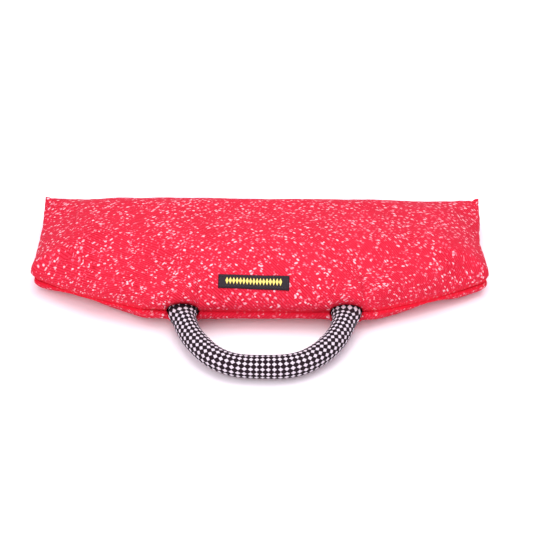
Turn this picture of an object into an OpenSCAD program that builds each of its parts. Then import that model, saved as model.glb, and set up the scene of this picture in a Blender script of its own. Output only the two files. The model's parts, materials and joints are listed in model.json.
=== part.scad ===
// Training bumper: a stuffed, sewn bite pad with one padded handle loop on its front seam.
// +X runs across the pad, -Y is the side with the handle, +Z is up, and z = 0 is the table.

/* [Cover] */
// Width across the two back corners
cover_w = 410; // [340:5:460]
// Depth from the front seam to the back seam
cover_d = 174; // [160:1:200]
// Width of the straight front seam that holds the handle
front_w = 185; // [180:1:210]
// Depth over which the two slanted front seams run out to the sides
slant_d = 61; // [54:1:70]
// Height of the seam above the table
seam_z = 19.5; // [17:0.5:22]
// Rise of the top above the seam near the handle
crown_front = 36.5; // [34:0.5:44]
// Rise of the top above the seam near the thin back edge
crown_back = 22; // [20:0.5:30]
// How far in from the seam the top rounds over
top_roll = 44; // [38:1:50]
// How far in from the seam the bottom rounds over
bottom_roll = 25; // [22:1:28]
// How much higher the seam stands at the two back corners
corner_lift = 2; // [0:0.5:6]
// How much lower the seam lies at the two front corners
corner_dip = 7.5; // [4:0.5:9]
// Thickness of the cover fabric
fabric_t = 1.8; // [1.4:0.1:2]

/* [Inner bag] */
// How far the inner bag stays in from the seam
bag_inset = 10.5; // [10:0.5:14]
// Gap under the inner bag, which holds the ends of the handle strap
bag_rise = 6.2; // [6:0.1:8]
// Thickness of the inner bag's fabric
bag_t = 0.8; // [0.5:0.1:1]

/* [Handle] */
// Distance from the middle of one leg to the middle of the other, at the seam
leg_gap = 145; // [140:1:150]
// How far the middle of the tube reaches out from the front seam
reach = 66; // [56:1:80]
// Diameter of the padded tube
tube_d = 20.5; // [19:0.5:26]
// Gap between the far end of the handle and the table
loop_lift = 2; // [1.5:0.5:4]
// How far the handle sits to the right of the middle of the pad
handle_shift = 4; // [-4:0.5:4]
// Distance from the front seam to the line that the handle bends on
hinge_gap = 9; // [9:0.5:12]
// Width of the flattened foot of each leg
foot_w = 27; // [25:0.2:29]
// Height of the flattened foot of each leg
foot_h = 15; // [13:0.5:15]
// Thickness of the checked sleeve
sleeve_t = 1.6; // [1.2:0.1:1.8]
// Width of the load strap inside the handle
strap_w = 14; // [10:0.5:15]
// Thickness of the load strap
strap_t = 1.8; // [1.4:0.1:1.8]

/* [Label] */
// Length of the woven label
label_w = 62; // [50:1:70]
// Height of the woven label, measured on the cover
label_h = 12; // [10:0.5:16]
// How far the label sits to the left of the middle of the pad
label_shift = 5.5; // [0:0.5:10]
// Distance from the front seam to the middle of the label, in plan
label_in = 12.5; // [11:0.5:30]

/* [Hidden] */

tube_r = tube_d / 2;
half_foot_h = foot_h / 2;
// The whole footprint, pad and handle, is centred on the origin.
back_y = (cover_d + reach + tube_r) / 2;
front_y = back_y - cover_d;
hinge_y = front_y - hinge_gap;
slant_bow = 1.4;     // how much the slanted front seams bow outwards
corner_soft = 12;    // blend of the slanted front edge into the side edge
ear_soft = 62;       // distance over which the top is less full near a back corner
level_half = 92;     // the front seam is level out to here, and drops towards the front corners
corner_roll = 15;    // how much wider the bottom rounds over at the front corners
front_sag = 5;       // bow of the front edge at its two ends
clear = 0.2;         // play between pieces that lie on each other
mouth_h = 3.4;       // half height of the seam's opening round each leg
mouth_w = 16.5;      // half width of that opening
mouth_depth = 20;    // how far in from the seam the opening fades out
panel_n = 18;        // half the steps across a panel; the front to back steps are as many
bag_n = 12;          // the same, for the inner bag and the filling
blend_len = 22;      // stretch of a leg over which its flat foot turns round
loop_belly = 2.53;   // how flat the far end of the loop is
loop_shoulder = 0.725; // how soon its legs lean towards each other
tape_w = 7.4;         // width of the turned-in seam allowance
tape_t = 1.6;        // thickness of the turned-in seam allowance
thread = 0.6;        // thickness of the sewing thread
patch_w = 40;
patch_l = 44;
patch_t = 1.2;
tail_end = 74;       // how far the strap's ends reach in from the front seam
sleeve_end_in = 3.5; // how far the sleeve's ends are caught inside the seam

red = [0.91, 0.2, 0.31];
dark_red = [0.72, 0.1, 0.2];
canvas = [0.86, 0.82, 0.74];
wool = [0.93, 0.92, 0.88];
check_grey = [0.42, 0.42, 0.42];
black = [0.1, 0.09, 0.1];
yellow = [0.93, 0.83, 0.16];
foam = [0.3, 0.31, 0.33];

// ---------- shape of the pad ----------

// The smaller of a and b, with the crossing rounded over a width r.
function soft_min(a, b, r) =
    let (h = min(1, max(0, 0.5 + 0.5 * (b - a) / r)))
    b + (a - b) * h - r * h * (1 - h);

// Rises from 0 to 1 along a quarter circle, and stays at 1.
function quarter(t) = t >= 1 ? 1 : t <= 0 ? 0 : sqrt(1 - (1 - t) * (1 - t));

// Rises from 0 to 1 with level ends.
function ease(t) = let (c = min(1, max(0, t))) c * c * (3 - 2 * c);

// Half width of the cover at a place y.
function half_w(y) =
    let (
        in = y - front_y,
        left = max(0, 1 - in / slant_d),
        slanted = front_w / 2 + 1.03 * (cover_w - front_w) / 2 * (1 - pow(left, slant_bow))
            + 20 * ease((in - slant_d + 14) / 20))
    soft_min(slanted, cover_w / 2, corner_soft);

// How much of a step in x is a step away from the side edge, at a place y.
function edge_cos(y) =
    let (g = (half_w(y + 0.5) - half_w(y - 0.5)))
    1 / sqrt(1 + g * g);

// Half width of the layer that lies a distance inset inside the seam.
function layer_half_w(y, inset) = half_w(y) - inset / edge_cos(y);

// Front edge of that layer, at a share u of the half width.
function layer_front(u, inset) = front_y + inset + front_sag * pow(abs(u), 4);

// Distance from the nearest edge of a layer, with the corners rounded.
function edge_dist(x, y, inset) =
    let (
        w = layer_half_w(y, inset),
        side = max(0, (w - abs(x)) * edge_cos(y)),
        front = max(0, y - layer_front(x / w, inset)),
        back = max(0, back_y - inset - y),
        nearest = min(side, front, back))
    nearest < 0.01 ? 0
        : pow(pow(side, -4) + pow(front, -4) + pow(back, -4), -0.25);

// Height of the seam: level at the handle, lower at the front corners and higher at the back corners.
function seam_height(x, y) =
    let (
        across = min(1, abs(x) / (cover_w / 2)),
        beyond = min(1, max(0, (abs(x) - level_half) / (cover_w / 2 - level_half))),
        along = min(1, max(0, (y - front_y) / cover_d)))
    seam_z + corner_lift * pow(across, 4) * pow(along, 3) + 0.5 * along
        - corner_dip * pow(beyond, 0.8) * max(0, 1 - along / 0.9);

// Half height of the gap between the two panels: a hair all round, and open at each leg.
function mouth(x, y) =
    let (
        from_leg = min(abs(x - handle_shift - leg_gap / 2), abs(x - handle_shift + leg_gap / 2)),
        across = exp(-pow(from_leg / mouth_w, 6)),
        along = 1 - ease((y - front_y) / mouth_depth))
    clear / 2 + mouth_h * across * along;

// Rise of the top above the seam, less full near the back corners.
function top_rise(x, y) =
    let (ear = norm([(cover_w / 2 - abs(x)) / ear_soft, (back_y - y) / (1.15 * ear_soft)]))
    (crown_front + (crown_back - crown_front) * ease((y - front_y - 30) / (cover_d - 50)))
        * (1 - 0.55 * exp(-ear * ear));

// Top surface of the layer that is inset from the seam and dropped below the outside.
function top_z(x, y, inset, drop) =
    let (lip = seam_height(x, y) + mouth(x, y))
    lip + (top_rise(x, y) - drop) * quarter(edge_dist(x, y, inset) / top_roll);

// Bottom surface of the layer that is inset from the seam and raised above the table.
function bottom_z(x, y, inset, raise) =
    let (
        lip = seam_height(x, y) - mouth(x, y),
        corner = norm([cover_w / 2 - abs(x), y - front_y - slant_d]) / 50,
        roll = bottom_roll + corner_roll * exp(-corner * corner))
    lip - (lip - raise) * quarter(edge_dist(x, y, inset) / roll);

// Place in the plan of the grid point i, j: closer together towards the edges.
function plan(i, j, n, inset) =
    let (
        u = sin(90 * i / n),
        v = (1 - cos(180 * j / n)) / 2,
        front = layer_front(u, inset),
        y = front + v * (back_y - inset - front))
    [u * layer_half_w(y, inset), y];

// Points of a whole surface. up is true for the top and false for the bottom.
function skin(n, inset, depth, up) =
    [for (j = [0:n], i = [-n:n])
        let (p = plan(i, j, n, inset))
        [p.x, p.y, up ? top_z(p.x, p.y, inset, depth) : bottom_z(p.x, p.y, inset, depth)]];

function skin_faces(n, start, outward) =
    let (row = 2 * n + 1)
    [for (j = [0:n - 1], i = [0:2 * n - 1], half = [0, 1])
        let (
            a = start + j * row + i,
            b = a + 1,
            c = a + row + 1,
            d = a + row,
            t = half == 0 ? [a, c, b] : [a, d, c])
        outward ? t : [t[2], t[1], t[0]]];

// Indices of a grid's border, once round, starting at the front left corner.
function border(n) =
    let (row = 2 * n + 1)
    concat(
        [for (i = [0:2 * n - 1]) i],
        [for (j = [0:n - 1]) j * row + 2 * n],
        [for (i = [2 * n:-1:1]) n * row + i],
        [for (j = [n:-1:1]) j * row]);

// Faces that join two rings of points.
function ring_faces(a, b, outward) =
    [for (k = [0:len(a) - 1], half = [0, 1])
        let (
            next = (k + 1) % len(a),
            t = half == 0 ? [a[k], a[next], b[next]] : [a[k], b[next], b[k]])
        outward ? t : [t[2], t[1], t[0]]];

// One sewn panel: the space between two skins, closed along the seam.
module shell(n, inset, depth, t, up) {
    outer = skin(n, inset, depth, up);
    inner = skin(n, inset + t, depth + t, up);
    edge = border(n);
    polyhedron(
        points = concat(outer, inner),
        faces = concat(
            skin_faces(n, 0, up),
            skin_faces(n, len(outer), !up),
            ring_faces(edge, [for (k = edge) k + len(outer)], up)));
}

// A thin sheet that lies a height lift above the top of the cover, or above the bottom's inside.
module laid_sheet(cx, cy, w, l, lift, t, on_top = true, steps = 1) {
    rise = [lift, lift + t];
    pts = [for (s = [0, 1], j = [0:steps], i = [0:steps])
        let (x = cx - w / 2 + w * i / steps, y = cy - l / 2 + l * j / steps)
        [x, y, rise[s] + (on_top ? top_z(x, y, 0, 0) : bottom_z(x, y, fabric_t, fabric_t))]];
    row = steps + 1;
    layer = row * row;
    edge = concat(
        [for (i = [0:steps - 1]) i],
        [for (j = [0:steps - 1]) j * row + steps],
        [for (i = [steps:-1:1]) steps * row + i],
        [for (j = [steps:-1:1]) j * row]);
    flat = [for (j = [0:steps - 1], i = [0:steps - 1], half = [0, 1])
        let (a = j * row + i)
        half == 0 ? [a, a + 1, a + row + 1] : [a, a + row + 1, a + row]];
    polyhedron(
        points = pts,
        faces = concat(
            flat,
            [for (f = flat) [f[2] + layer, f[1] + layer, f[0] + layer]],
            ring_faces([for (k = edge) k + layer], edge, true)));
}

// ---------- the cover, its inner bag and the filling ----------

module top_panel() {
    color(red) shell(panel_n, 0, 0, fabric_t, true);
}

module bottom_panel() {
    color(red) shell(panel_n, 0, 0, fabric_t, false);
}

module top_lining() {
    color(canvas) shell(bag_n, bag_inset, fabric_t + 1, bag_t, true);
}

module bottom_lining() {
    color(canvas) shell(bag_n, bag_inset, bag_rise, bag_t, false);
}

module filling() {
    inset = bag_inset + bag_t + clear;
    top = skin(bag_n, inset, fabric_t + 1 + bag_t + clear, true);
    bottom = skin(bag_n, inset, bag_rise + bag_t + clear, false);
    edge = border(bag_n);
    color(wool)
        polyhedron(
            points = concat(top, bottom),
            faces = concat(
                skin_faces(bag_n, 0, true),
                skin_faces(bag_n, len(top), false),
                ring_faces(edge, [for (k = edge) k + len(top)], true)));
}

// ---------- the seam ----------

// Points of the seam line, moved in by inset and up by rise.
function seam_line(inset, rise) =
    let (all = [for (j = [0:panel_n], i = [-panel_n:panel_n]) plan(i, j, panel_n, inset)])
    [for (k = border(panel_n)) [all[k].x, all[k].y, seam_height(all[k].x, all[k].y) + rise]];

module leg_slots() {
    slot = foot_w + 4;
    for (side = [-1, 1])
        translate([handle_shift + side * leg_gap / 2 - slot / 2, front_y - 10, 0])
            cube([slot, 40, 2 * seam_z]);
}

// The two cover edges, turned in and taped together all round, apart from at the legs.
module seam_tape() {
    near = fabric_t + clear;
    far = near + tape_w;
    rings = [seam_line(near, tape_t / 2), seam_line(far, tape_t / 2),
             seam_line(far, -tape_t / 2), seam_line(near, -tape_t / 2)];
    count = len(rings[0]);
    at = [for (r = [0:3]) [for (k = [0:count - 1]) r * count + k]];
    color(dark_red)
        difference() {
            polyhedron(
                points = [for (r = rings, p = r) p],
                faces = [for (r = [0:3], f = ring_faces(at[r], at[(r + 1) % 4], false)) f]);
            leg_slots();
        }
}

// One straight stitch between two points, lying on what is under it.
module stitch(a, b) {
    run = b - a;
    flat = norm([run.x, run.y]);
    translate((a + b) / 2)
        rotate([0, 0, atan2(run.y, run.x)])
            rotate([0, -atan2(run.z, flat), 0])
                translate([-norm(run) / 2, -thread / 2, 0])
                    cube([norm(run), thread, thread]);
}

// The row of lock stitches through the turned-in edges.
module seam_stitch() {
    line = seam_line(fabric_t + clear + tape_w / 2, tape_t / 2);
    count = len(line);
    slot = foot_w / 2 + 5;
    color(dark_red)
        for (k = [0:count - 1]) {
            a = line[k];
            b = line[(k + 1) % count];
            mid = (a + b) / 2;
            off = min(abs(mid.x - handle_shift - leg_gap / 2), abs(mid.x - handle_shift + leg_gap / 2));
            if (off > slot || mid.y > front_y + 20)
                stitch(a + (b - a) * 0.2 + [0, 0, 0.05], a + (b - a) * 0.8 + [0, 0, 0.05]);
        }
}

// Hand stitches that close the gap in the back seam after the pad is stuffed.
module closing_stitch() {
    pitch = 6;
    run = 108;
    long = 5;
    color(dark_red)
        for (x = [-run / 2:pitch:run / 2])
            translate([x - thread / 2, back_y + 0.02, seam_height(x, back_y) - long / 2])
                cube([thread, thread, long]);
}

// ---------- the label ----------

label_y = front_y + label_in;
label_slope = top_z(-label_shift, label_y + 0.5, 0, 0) - top_z(-label_shift, label_y - 0.5, 0, 0);
label_run = label_h / norm([1, label_slope]);

module label_base() {
    color(black)
        laid_sheet(-label_shift, label_y, label_w, label_run, 0.2, 0.8, steps = 8);
}

// A row of plain woven lozenges.
module label_motif() {
    count = 9;
    pitch = label_w * 0.84 / count;
    color(yellow)
        for (k = [0:count - 1])
            laid_sheet(-label_shift + (k - (count - 1) / 2) * pitch, label_y,
                       pitch * 0.7, label_run * 0.42, 1.15, 0.3);
}

module label_stitch() {
    pitch = 4;
    long = 2.6;
    in = 1.2;
    color(black) {
        for (side = [-1, 1], x = [-label_w / 2 + 3:pitch:label_w / 2 - 3])
            laid_sheet(-label_shift + x, label_y + side * (label_run / 2 - in), long, thread, 1.15, 0.3);
        for (side = [-1, 1])
            laid_sheet(-label_shift + side * (label_w / 2 - in), label_y, thread, long, 1.15, 0.3);
    }
}

// ---------- how the handle is fixed ----------

function leg_x(side) = handle_shift + side * leg_gap / 2;

// Fixed end of the sleeve, pressed flat round the strap and caught in the seam.
module sleeve_end(side) {
    front = 0.9;
    half_h = mouth_h - 0.9;
    wide = foot_w - 4;
    color(check_grey)
        difference() {
            translate([leg_x(side) - wide / 2, front_y - front, seam_z - half_h])
                cube([wide, front + sleeve_end_in, 2 * half_h]);
            translate([leg_x(side) - strap_w / 2 - clear, front_y - 10, seam_z - strap_t / 2 - clear])
                cube([strap_w + 2 * clear, 30, strap_t + 2 * clear]);
        }
}

// Height of the underside of the strap's end, a distance in from the front seam.
function tail_z(x, in) =
    let (
        y = front_y + in,
        down = bottom_z(x, y, fabric_t, fabric_t) + patch_t + 2 * clear)
    seam_z - strap_t / 2 + (down - seam_z + strap_t / 2) * ease((in - 3.5) / 9);

// The strap's end: in through the seam, down and along the inside of the bottom panel.
module strap_tail(side) {
    steps = 20;
    x0 = leg_x(side);
    half = strap_w / 2;
    ins = [for (k = [0:steps]) -0.8 + (tail_end + 0.8) * pow(k / steps, 1.6)];
    ring = [for (in = ins)
        let (z = tail_z(x0, max(0, in)), y = front_y + in)
        each [[x0 - half, y, z], [x0 + half, y, z], [x0 + half, y, z + strap_t], [x0 - half, y, z + strap_t]]];
    last = 4 * steps;
    color(black)
        polyhedron(
            points = ring,
            faces = concat(
                [[0, 1, 2], [0, 2, 3], [last + 3, last + 2, last + 1], [last + 3, last + 1, last]],
                [for (k = [0:steps - 1], f = ring_faces([for (c = [0:3]) 4 * k + c],
                                                        [for (c = [0:3]) 4 * k + 4 + c], false)) f]));
}

module patch(side) {
    color(canvas)
        laid_sheet(leg_x(side), front_y + tail_end - patch_l / 2 + 4, patch_w, patch_l, clear, patch_t,
                   on_top = false, steps = 4);
}

// A sewn box with a cross in it, through the strap's end, the patch and the bottom panel.
module bartack(side) {
    long = 30;
    wide = 12;
    pitch = 3;
    dash = 2;
    x0 = leg_x(side);
    y0 = front_y + tail_end - long / 2 - 6;
    z0 = tail_z(x0, tail_end - 6) + strap_t + 0.02;
    turn = atan2(wide, long);
    rows = [[-wide / 2, 0, 0, long], [wide / 2, 0, 0, long], [0, long / 2 + 1.5, 90, wide],
            [0, -long / 2 - 1.5, 90, wide], [0, 0, turn, long * 0.8]];
    color(black)
        for (r = rows)
            translate([x0 + r[0], y0 + r[1], z0])
                rotate([0, 0, r[2]])
                    for (y = [-r[3] / 2 + dash:pitch:r[3] / 2 - dash])
                        translate([-thread / 2, y - dash / 2, 0])
                            cube([thread, dash, thread]);
}

// ---------- the handle loop ----------

// How far the tube's middle stands out from the front seam. turn goes from 0 at the right seam to 180 at the left.
function loop_out(turn) = reach * pow(max(0, 1 - pow(abs(cos(turn)), loop_belly)), loop_shoulder);

// Middle line of the tube, which slopes down a little from the hinge line to its far end.
function loop_at(turn) =
    let (
        y = loop_out(turn),
        out = min(1, max(0, (y - hinge_gap) / (reach - hinge_gap))))
    [handle_shift + leg_gap / 2 * cos(turn), front_y - y, seam_z + (tube_r + loop_lift - seam_z) * out];

// Level direction at right angles to the tube, pointing out of the loop, and square to the seam at the feet.
function loop_side(turn) =
    let (
        d = loop_at(turn + 0.5) - loop_at(turn - 0.5),
        straight = ease((loop_out(turn) - hinge_gap) / 14),
        n = [d.y, -d.x * straight, 0])
    -n / norm(n);

foot_turn = acos(pow(1 - pow(hinge_gap / reach, 1 / loop_shoulder), 1 / loop_belly));

// Stations along the loop: [turn, distance behind the hinge line, half height of the foot there].
loop_steps = 34;
end_angles = [60, 40, 20];
stations = concat(
    [for (a = end_angles) [foot_turn, half_foot_h * sin(a), half_foot_h * cos(a)]],
    [for (k = [0:loop_steps]) [foot_turn + (180 - 2 * foot_turn) * k / loop_steps, 0, half_foot_h]],
    [for (k = [len(end_angles) - 1:-1:0])
        [180 - foot_turn, half_foot_h * sin(end_angles[k]), half_foot_h * cos(end_angles[k])]]);

// One ring of the tube, a depth thin inside its outer surface.
function tube_ring(s, thin, sides) =
    let (
        p = loop_at(s[0]),
        n = loop_side(s[0]),
        out = loop_out(s[0]) - hinge_gap,
        round = ease(out / blend_len),
        a = foot_w / 2 + (tube_r - foot_w / 2) * round - thin,
        b = s[2] + (tube_r - half_foot_h) * round - thin)
    [for (k = [0:sides - 1])
        let (t = 360 * k / sides)
        [p.x + n.x * a * cos(t), p.y + n.y * a * cos(t) + s[1], p.z + b * sin(t)]];

// One ring of the flat strap that runs in the middle of the tube.
function strap_ring(s, grow, sides) =
    let (p = loop_at(s[0]), n = loop_side(s[0]))
    [for (k = [0:sides - 1])
        let (t = 360 * k / sides, a = strap_w / 2 + grow, b = strap_t / 2 + grow)
        [p.x + n.x * a * cos(t), p.y + n.y * a * cos(t) + s[1], p.z + b * sin(t)]];

function ring_at(k, sides, start) = [for (c = [0:sides - 1]) start + k * sides + c];

function cap(ids, outward) =
    [for (c = [1:len(ids) - 2])
        outward ? [ids[0], ids[c], ids[c + 1]] : [ids[c + 1], ids[c], ids[0]]];

// A solid rod through a list of rings.
module rod(rings) {
    sides = len(rings[0]);
    count = len(rings);
    polyhedron(
        points = [for (r = rings, p = r) p],
        faces = concat(
            cap(ring_at(0, sides, 0), false),
            cap(ring_at(count - 1, sides, 0), true),
            [for (k = [0:count - 2],
                  f = ring_faces(ring_at(k, sides, 0), ring_at(k + 1, sides, 0), true)) f]));
}

// A pipe between two lists of rings, open at both ends.
module pipe(outer, inner) {
    sides = len(outer[0]);
    count = len(outer);
    start = sides * count;
    polyhedron(
        points = concat([for (r = outer, p = r) p], [for (r = inner, p = r) p]),
        faces = concat(
            [for (k = [0:count - 2],
                  f = ring_faces(ring_at(k, sides, 0), ring_at(k + 1, sides, 0), true)) f],
            [for (k = [0:count - 2],
                  f = ring_faces(ring_at(k, sides, start), ring_at(k + 1, sides, start), false)) f],
            ring_faces(ring_at(0, sides, 0), ring_at(0, sides, start), false),
            ring_faces(ring_at(count - 1, sides, 0), ring_at(count - 1, sides, start), true)));
}

sleeve_sides = 16;
core_stations = [for (s = stations) if (s[1] == 0) s];

module handle_sleeve() {
    color(check_grey)
        pipe([for (s = stations) tube_ring(s, 0, sleeve_sides)],
             [for (s = stations) tube_ring(s, sleeve_t, sleeve_sides)]);
}

module handle_core() {
    color(foam)
        pipe([for (s = core_stations) tube_ring(s, sleeve_t + clear, sleeve_sides)],
             [for (s = core_stations) strap_ring(s, 2 * clear, sleeve_sides)]);
}

module handle_strap() {
    color(black) rod([for (s = stations) strap_ring(s, 0, 8)]);
}

// Stitches of the sleeve's own seam, along the inside of the loop.
module sleeve_seam() {
    count = 40;
    first = foot_turn + 24;
    step = (180 - 2 * first) / count;
    dash = 0.55;
    stand = tube_r + thread / 2 + 0.2;
    color(black)
        for (k = [0:count - 1]) {
            turn_a = first + step * k;
            turn_b = turn_a + step * dash;
            stitch(loop_at(turn_a) - loop_side(turn_a) * stand, loop_at(turn_b) - loop_side(turn_b) * stand);
        }
}

top_panel();
bottom_panel();
top_lining();
bottom_lining();
filling();
seam_tape();
seam_stitch();
closing_stitch();
label_base();
label_motif();
label_stitch();
sleeve_end(-1);  // left_sleeve_end
sleeve_end(1);  // right_sleeve_end
strap_tail(-1);  // left_strap_tail
strap_tail(1);  // right_strap_tail
patch(-1);  // left_patch
patch(1);  // right_patch
bartack(-1);  // left_bartack
bartack(1);  // right_bartack
handle_sleeve();
handle_core();
handle_strap();
sleeve_seam();
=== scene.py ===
import json
import math

import bpy
import numpy as np
from mathutils import Matrix, Vector


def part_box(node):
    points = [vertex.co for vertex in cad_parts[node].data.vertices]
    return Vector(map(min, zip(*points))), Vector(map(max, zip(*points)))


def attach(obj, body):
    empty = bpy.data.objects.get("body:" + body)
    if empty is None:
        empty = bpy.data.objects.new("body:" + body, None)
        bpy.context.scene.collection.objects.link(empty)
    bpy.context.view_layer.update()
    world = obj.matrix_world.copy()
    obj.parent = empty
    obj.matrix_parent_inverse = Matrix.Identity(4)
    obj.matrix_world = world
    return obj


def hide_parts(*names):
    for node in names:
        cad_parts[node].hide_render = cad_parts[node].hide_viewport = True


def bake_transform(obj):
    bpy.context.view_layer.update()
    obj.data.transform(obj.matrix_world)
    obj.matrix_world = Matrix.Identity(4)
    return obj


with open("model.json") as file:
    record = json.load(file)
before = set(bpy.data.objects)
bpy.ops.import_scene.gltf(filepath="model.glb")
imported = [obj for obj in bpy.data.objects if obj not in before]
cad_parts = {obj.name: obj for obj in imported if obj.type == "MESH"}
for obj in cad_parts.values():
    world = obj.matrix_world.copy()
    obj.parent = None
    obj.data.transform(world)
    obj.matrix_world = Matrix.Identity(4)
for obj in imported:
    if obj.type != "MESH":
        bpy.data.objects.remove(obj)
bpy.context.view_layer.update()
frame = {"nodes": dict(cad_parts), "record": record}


# ---------------------------------------------------------------- camera
# The camera stands in front of the handle and above the table, on a long lens, a little to the right of the
# pad's middle. It is turned slightly, so that the pad's right end stands a little lower.
pad_low, pad_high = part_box("top_panel")
camera_distance = 1.6
camera_height = math.radians(36)
camera_turn = math.radians(0.4)
camera_lens = 113.2
camera_lowered = 0.0008
aim_right = 0.013
aim_before_back = 0.0885
aim = Vector((aim_right, pad_high.y - aim_before_back, 0.0))

forward = Vector((0, math.cos(camera_height), -math.sin(camera_height)))
level_right = Vector((1, 0, 0))
level_up = level_right.cross(forward)
right = level_right * math.cos(camera_turn) + level_up * math.sin(camera_turn)
up = level_up * math.cos(camera_turn) - level_right * math.sin(camera_turn)
axes = Matrix((right, up, -forward)).transposed().to_4x4()

camera_data = bpy.data.cameras.new("camera")
camera_data.lens = camera_lens
camera_data.sensor_width = 36
camera_data.clip_start = 0.05
camera = bpy.data.objects.new("camera", camera_data)
camera.matrix_world = Matrix.Translation(aim - forward * camera_distance - level_up * camera_lowered) @ axes
bpy.context.collection.objects.link(camera)
bpy.context.scene.camera = camera
bpy.context.scene.view_settings.view_transform = "Standard"
bpy.context.scene.view_settings.look = "None"


# ---------------------------------------------------------------- table and light
# A plain white table top under the pad, a broad soft light above it, and a slightly weaker one on the camera's
# side, as in a small light tent with a faintly pink glow.
def quads_of(ids):
    """Four neighbouring point numbers for each cell of a grid of numbers, in turning order."""
    return np.stack([ids[:-1, :-1], ids[:-1, 1:], ids[1:, 1:], ids[1:, :-1]], axis=-1).reshape(-1, 4)


def smooth_mesh(name, points, *faces):
    """A smooth-shaded mesh through an array of points, with one or more arrays of faces."""
    mesh = bpy.data.meshes.new(name)
    mesh.from_pydata(points.reshape(-1, 3).tolist(), [], [face for group in faces for face in group.tolist()])
    mesh.shade_smooth()
    return mesh


def add_object(name, mesh, material):
    """Links a finished mesh at the origin, with its material."""
    piece = bpy.data.objects.new(name, mesh)
    mesh.materials.append(material)
    bpy.context.collection.objects.link(piece)
    return piece


def new_material(name, roughness):
    """A principled material with a constant roughness on its own socket; returns it, its tree and its shader."""
    material = bpy.data.materials.new(name)
    material.use_nodes = True
    shader = material.node_tree.nodes["Principled BSDF"]
    shader.inputs["Roughness"].default_value = roughness
    return material, material.node_tree, shader


table_size = 6.0
table_below_pad = 0.0003
table_steps = np.linspace(-table_size / 2, table_size / 2, 9)
table_x, table_y = np.meshgrid(table_steps, table_steps)
table_points = np.stack([table_x, table_y, np.full_like(table_x, -table_below_pad)], axis=-1)
table_ids = np.arange(table_x.size).reshape(table_x.shape)
table_paint, table_tree, table_shader = new_material("table_white", 0.9)
table_tone = table_tree.nodes.new("ShaderNodeTexNoise")
table_tone.inputs["Scale"].default_value = 3.0
table_ramp = table_tree.nodes.new("ShaderNodeValToRGB")
table_ramp.color_ramp.elements[0].color = (0.93, 0.93, 0.93, 1)
table_ramp.color_ramp.elements[1].color = (0.95, 0.95, 0.95, 1)
table_tree.links.new(table_tone.outputs["Fac"], table_ramp.inputs["Fac"])
table_tree.links.new(table_ramp.outputs["Color"], table_shader.inputs["Base Color"])
table = add_object("table_top", smooth_mesh("table_top", table_points, quads_of(table_ids)), table_paint)


def soft_light(name, place, target, power):
    """A square area light at a place, turned towards a target."""
    data = bpy.data.lights.new(name, "AREA")
    data.shape = "SQUARE"
    data.size = tent_light_size
    data.energy = power
    lamp = bpy.data.objects.new(name, data)
    turn = (Vector(target) - Vector(place)).to_track_quat("-Z", "Y").to_matrix().to_4x4()
    lamp.matrix_world = Matrix.Translation(Vector(place)) @ turn
    bpy.context.collection.objects.link(lamp)


tent_light_size = 1.4
soft_light("tent_top", (0.1, 0.10, 1.5), (0, 0.02, 0), 19)
soft_light("tent_front", (-0.25, -1.3, 1.0), (0, 0, 0), 16)

tent_tint = (0.99, 0.80, 1.0)
tent_glow = 0.80
tent = bpy.data.worlds.new("tent")
tent.use_nodes = True
tent.node_tree.nodes["Background"].inputs["Color"].default_value = (*tent_tint, 1)
tent.node_tree.nodes["Background"].inputs["Strength"].default_value = tent_glow
bpy.context.scene.world = tent


# ---------------------------------------------------------------- the two cover panels
# Two panels of thick red twill with pale slubs, sewn together inside out, turned and stuffed. The seam pulls a
# narrow valley all round between the two panels, and the fabric puckers a little beside it.
cover_width = pad_high.x - pad_low.x
front_y, back_y = pad_low.y, pad_high.y
cover_depth = back_y - front_y
front_seam_width = 0.185
slant_depth = 0.061
slant_curve = 1.4
side_corner_blend = 0.012
front_bow = 0.005
seam_level = 0.0195
corner_lift = 0.002
corner_dip = 0.0075
level_half = 0.092
crown_front = 0.0365
crown_back = 0.022
top_roll = 0.044
bottom_roll = 0.025
corner_roll = 0.013
corner_roll_reach = 0.08
ear_reach = 0.062
right_ear_extra = 0.013
ear_thinning = 0.55
fabric_thickness = 0.0018

sleeve_low, sleeve_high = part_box("handle_sleeve")
handle_middle_x = (sleeve_low.x + sleeve_high.x) / 2
leg_half_gap = 0.072
mouth_half_width = 0.0143
mouth_half_height = 0.0078
mouth_length = 0.030


def ease(t):
    """Rises from 0 to 1 with level ends: three t squared less two t cubed."""
    t = np.clip(t, 0, 1)
    return t * t * (3 - 2 * t)


def quarter(t):
    """Rises from 0 to 1 along a quarter circle, and stays at 1."""
    t = np.clip(t, 0, 1)
    return np.sqrt(np.maximum(0, 1 - (1 - t) ** 2))


def half_width(y):
    """Half width of the pad at y.

    The slanted front edge bows out as a power of what is left of the slant, and runs into the side edge through
    a soft corner: the smooth minimum of the two widths.
    """
    side = cover_width / 2
    left_over = np.maximum(0, 1 - (y - front_y) / slant_depth)
    slanted = front_seam_width / 2 + 1.03 * (side - front_seam_width / 2) * (1 - left_over ** slant_curve)
    slanted = slanted + 0.02 * ease((y - front_y - slant_depth + 0.014) / 0.02)
    h = np.clip(0.5 + 0.5 * (side - slanted) / side_corner_blend, 0, 1)
    return side + (slanted - side) * h - side_corner_blend * h * (1 - h)


def edge_cosine(y):
    """How much of a step in x is a step away from the side edge."""
    slope = (half_width(y + 0.0005) - half_width(y - 0.0005)) / 0.001
    return 1 / np.sqrt(1 + slope ** 2)


def from_edge(x, y):
    """Distance from the nearest edge of the pad, with the corners rounded off by a fourth-power mean."""
    w = half_width(y)
    side = np.maximum(1e-6, (w - np.abs(x)) * edge_cosine(y))
    front = np.maximum(1e-6, y - front_y - front_bow * (np.abs(x) / w) ** 4)
    back = np.maximum(1e-6, back_y - y)
    return (side ** -4 + front ** -4 + back ** -4) ** -0.25


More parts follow.
